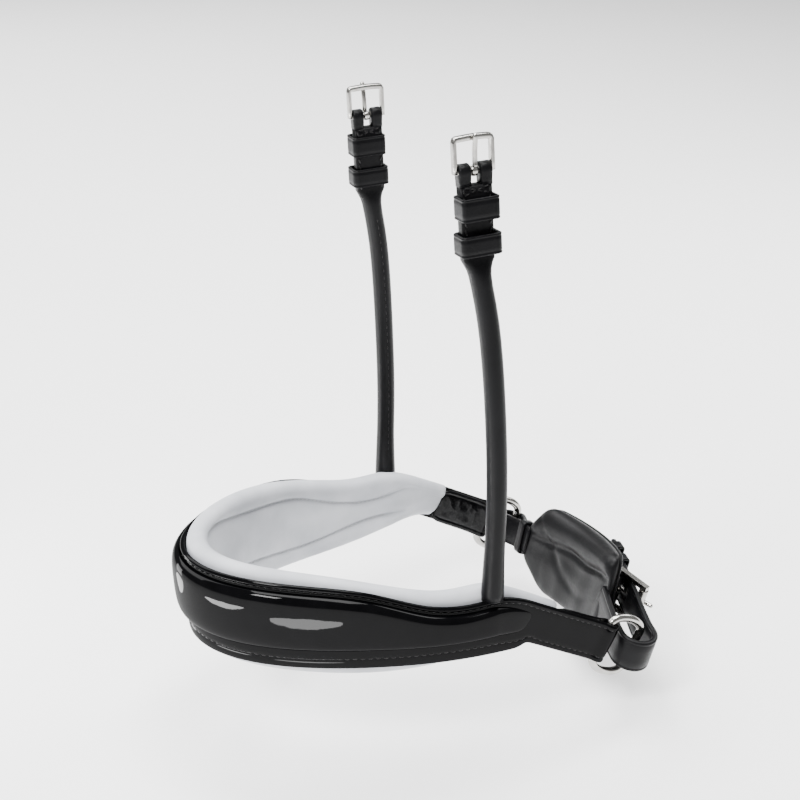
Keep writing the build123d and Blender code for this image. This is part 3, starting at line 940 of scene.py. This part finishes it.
def crank_line():
    r = 7.7
    line = [(-3.0, 29.5), (-4.1, 24), (-5.7, 16), (-7.2, 7)]
    line += [(-r * math.cos(a), -r * math.sin(a)) for a in [math.radians(d) for d in range(0, 181, 18)]]
    line += [(7.85, 5), (8.6, 11), (9.6, 18), (10.9, 25), (11.8, 31.5)]
    line += [(12.5, 38), (13.3, 43), (14.1, 48), (15.3, 55.5), (16.45, 62.7)]
    return catmull([(u, y, 0) for u, y in line], 4)


def punched(obj, low, high, matrix):
    """Cut a box, given in a local frame in mm, out of a mesh."""
    corners = [(x, y, z) for x in (low[0], high[0]) for y in (low[1], high[1]) for z in (low[2], high[2])]
    faces = [(0, 1, 3, 2), (4, 6, 7, 5), (0, 4, 5, 1), (2, 3, 7, 6), (0, 2, 6, 4), (1, 5, 7, 3)]
    cutter = new_object("cutter", [matrix @ Vector(c) for c in corners], faces, smooth=False)
    cut = obj.modifiers.new("punch", "BOOLEAN")
    cut.object = cutter
    cut.operation = "DIFFERENCE"
    cut.solver = "EXACT"
    graph = bpy.context.evaluated_depsgraph_get()
    mesh = bpy.data.meshes.new_from_object(obj.evaluated_get(graph))
    obj.modifiers.remove(cut)
    obj.data = mesh
    bpy.data.objects.remove(cutter)
    return obj


def crank_strap_piece():
    rings = ribbon_rings(crank_line(), Vector((0, 0, 1)), 8.0, CRANK_THICK, edge=0.6, groove=1.5)
    obj = Solid().loft(moved(CRANK, rings)).build("crank_billet")
    punched(obj, *CRANK_SLOT, CRANK)
    finish_piece(obj, BLACK, "chin", ("crank_strap",))
    for node, name, body, y in (
        ("crank_keeper", "crank_band", "chin", 48.0),
        ("crank_runner", "crank_slide_band", "crank_runner_body", 57.0),
    ):
        middle = CRANK_TAIL_U + CRANK_TAIL_SLOPE * (y - CRANK_TAIL_Y)
        deep = 1.2 + 0.35 + 0.4 + 0.6
        loop = rounded_loop(deep, -9.0, 9.0, 1.3)
        path = [Vector((middle + x, y, w)) for x, w in loop]
        rings = ribbon_rings(path, Vector((0, 1, 0)), 2.5, 1.2, closed=True, edge=0.4)
        obj = Solid().loft(moved(CRANK, rings), close_path=True).build(name)
        finish_piece(obj, BLACK, body, (node,))


pad_piece()
right_strap_piece()
crank_strap_piece()
for node in ("crank_buckle_frame", "crank_roller", "crank_tongue", "crank_chape"):
    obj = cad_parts[node]
    bevel = obj.modifiers.new("soft_edges", "BEVEL")
    bevel.width = 0.3 * MM
    bevel.segments = 2
    bevel.limit_method = "ANGLE"
    for slot_index in range(max(1, len(obj.material_slots))):
        if obj.material_slots:
            obj.material_slots[slot_index].material = BLACK if node == "crank_chape" else NICKEL

# ---------------------------------------------------------------- floor, light, camera
FLOOR_Z = -0.075


def area_light(name, place, target, size, power, shape="RECTANGLE"):
    data = bpy.data.lights.new(name, "AREA")
    data.shape = shape
    data.size, data.size_y = size
    data.energy = power
    lamp = bpy.data.objects.new(name, data)
    lamp.location = place
    lamp.rotation_euler = (Vector(target) - Vector(place)).to_track_quat("-Z", "Y").to_euler()
    bpy.context.scene.collection.objects.link(lamp)
    return lamp


def floor_piece():
    corners = [(-6000, -6000, 0), (6000, -6000, 0), (6000, 6000, 0), (-6000, 6000, 0)]
    obj = new_object("floor", corners, [(0, 1, 2, 3)])
    obj.location.z = FLOOR_Z
    mat, _ = material("floor", (0.92, 0.92, 0.92), 0.8)
    obj.data.materials.append(mat)


floor_piece()
world = bpy.context.scene.world or bpy.data.worlds.new("world")
bpy.context.scene.world = world
world.use_nodes = True
world.node_tree.nodes["Background"].inputs["Color"].default_value = (1, 1, 1, 1)
world.node_tree.nodes["Background"].inputs["Strength"].default_value = 0.4
area_light("key", (-0.65, -0.45, 0.95), (0.05, 0, 0), (0.3, 0.3), 20.0)
area_light("top", (0.15, 0.1, 1.6), (0.08, 0, 0), (1.2, 1.2), 75.0)
area_light("rim", (0.9, 0.25, 0.6), (0.1, 0, 0), (0.25, 0.6), 5.0)
area_light("backdrop", (-0.7, 1.9, 1.7), (-0.7, 1.9, 0), (2.6, 2.0), 120.0)
side_card = area_light("side_card", (-0.2, 0.2, 0.0), (-0.015, -0.008, 0.02), (0.07, 0.13), 0.5)
side_card.visible_camera = False


def low_card(name, corner_a, corner_b, wide, power):
    """Light lying on the floor between two points in mm, for the reflections in the patent leather."""
    a, b = Vector((*corner_a, 0)) * MM, Vector((*corner_b, 0)) * MM
    middle = (a + b) / 2
    data = bpy.data.lights.new(name, "AREA")
    data.shape = "ELLIPSE"
    data.size, data.size_y = (b - a).length, wide * MM
    data.energy = power
    lamp = bpy.data.objects.new(name, data)
    turn = math.atan2(b.y - a.y, b.x - a.x)
    lamp.matrix_world = (
        Matrix.Translation((middle.x, middle.y, FLOOR_Z + 0.001))
        @ Matrix.Rotation(turn, 4, "Z")
        @ Matrix.Rotation(math.pi, 4, "X")
    )
    lamp.visible_camera = False
    bpy.context.scene.collection.objects.link(lamp)


low_card("card_side", (-150, 165), (-85, 105), 55, 0.4)
low_card("card_front", (-176, 8), (-158, -105), 34, 0.6)
low_card("card_near", (-96, -122), (-13, -180), 36, 0.3)

AZIMUTH, ELEVATION, ROLL = -20.713, 23.83, -2.405
CAMERA_PLACE = Vector((-0.09335, -0.47582, 0.29236))
az, el, roll = (math.radians(v) for v in (AZIMUTH, ELEVATION, ROLL))
back = Vector((math.sin(az) * math.cos(el), -math.cos(az) * math.cos(el), math.sin(el)))
right = Vector((math.cos(az), math.sin(az), 0))
up = back.cross(right)
right, up = right * math.cos(roll) + up * math.sin(roll), up * math.cos(roll) - right * math.sin(roll)
camera_data = bpy.data.cameras.new("camera")
camera_data.lens = 59.62
camera_data.sensor_width = 36.0
camera = bpy.data.objects.new("camera", camera_data)
camera.matrix_world = Matrix.Translation(CAMERA_PLACE) @ Matrix((right, up, back)).transposed().to_4x4()
bpy.context.scene.collection.objects.link(camera)
bpy.context.scene.camera = camera
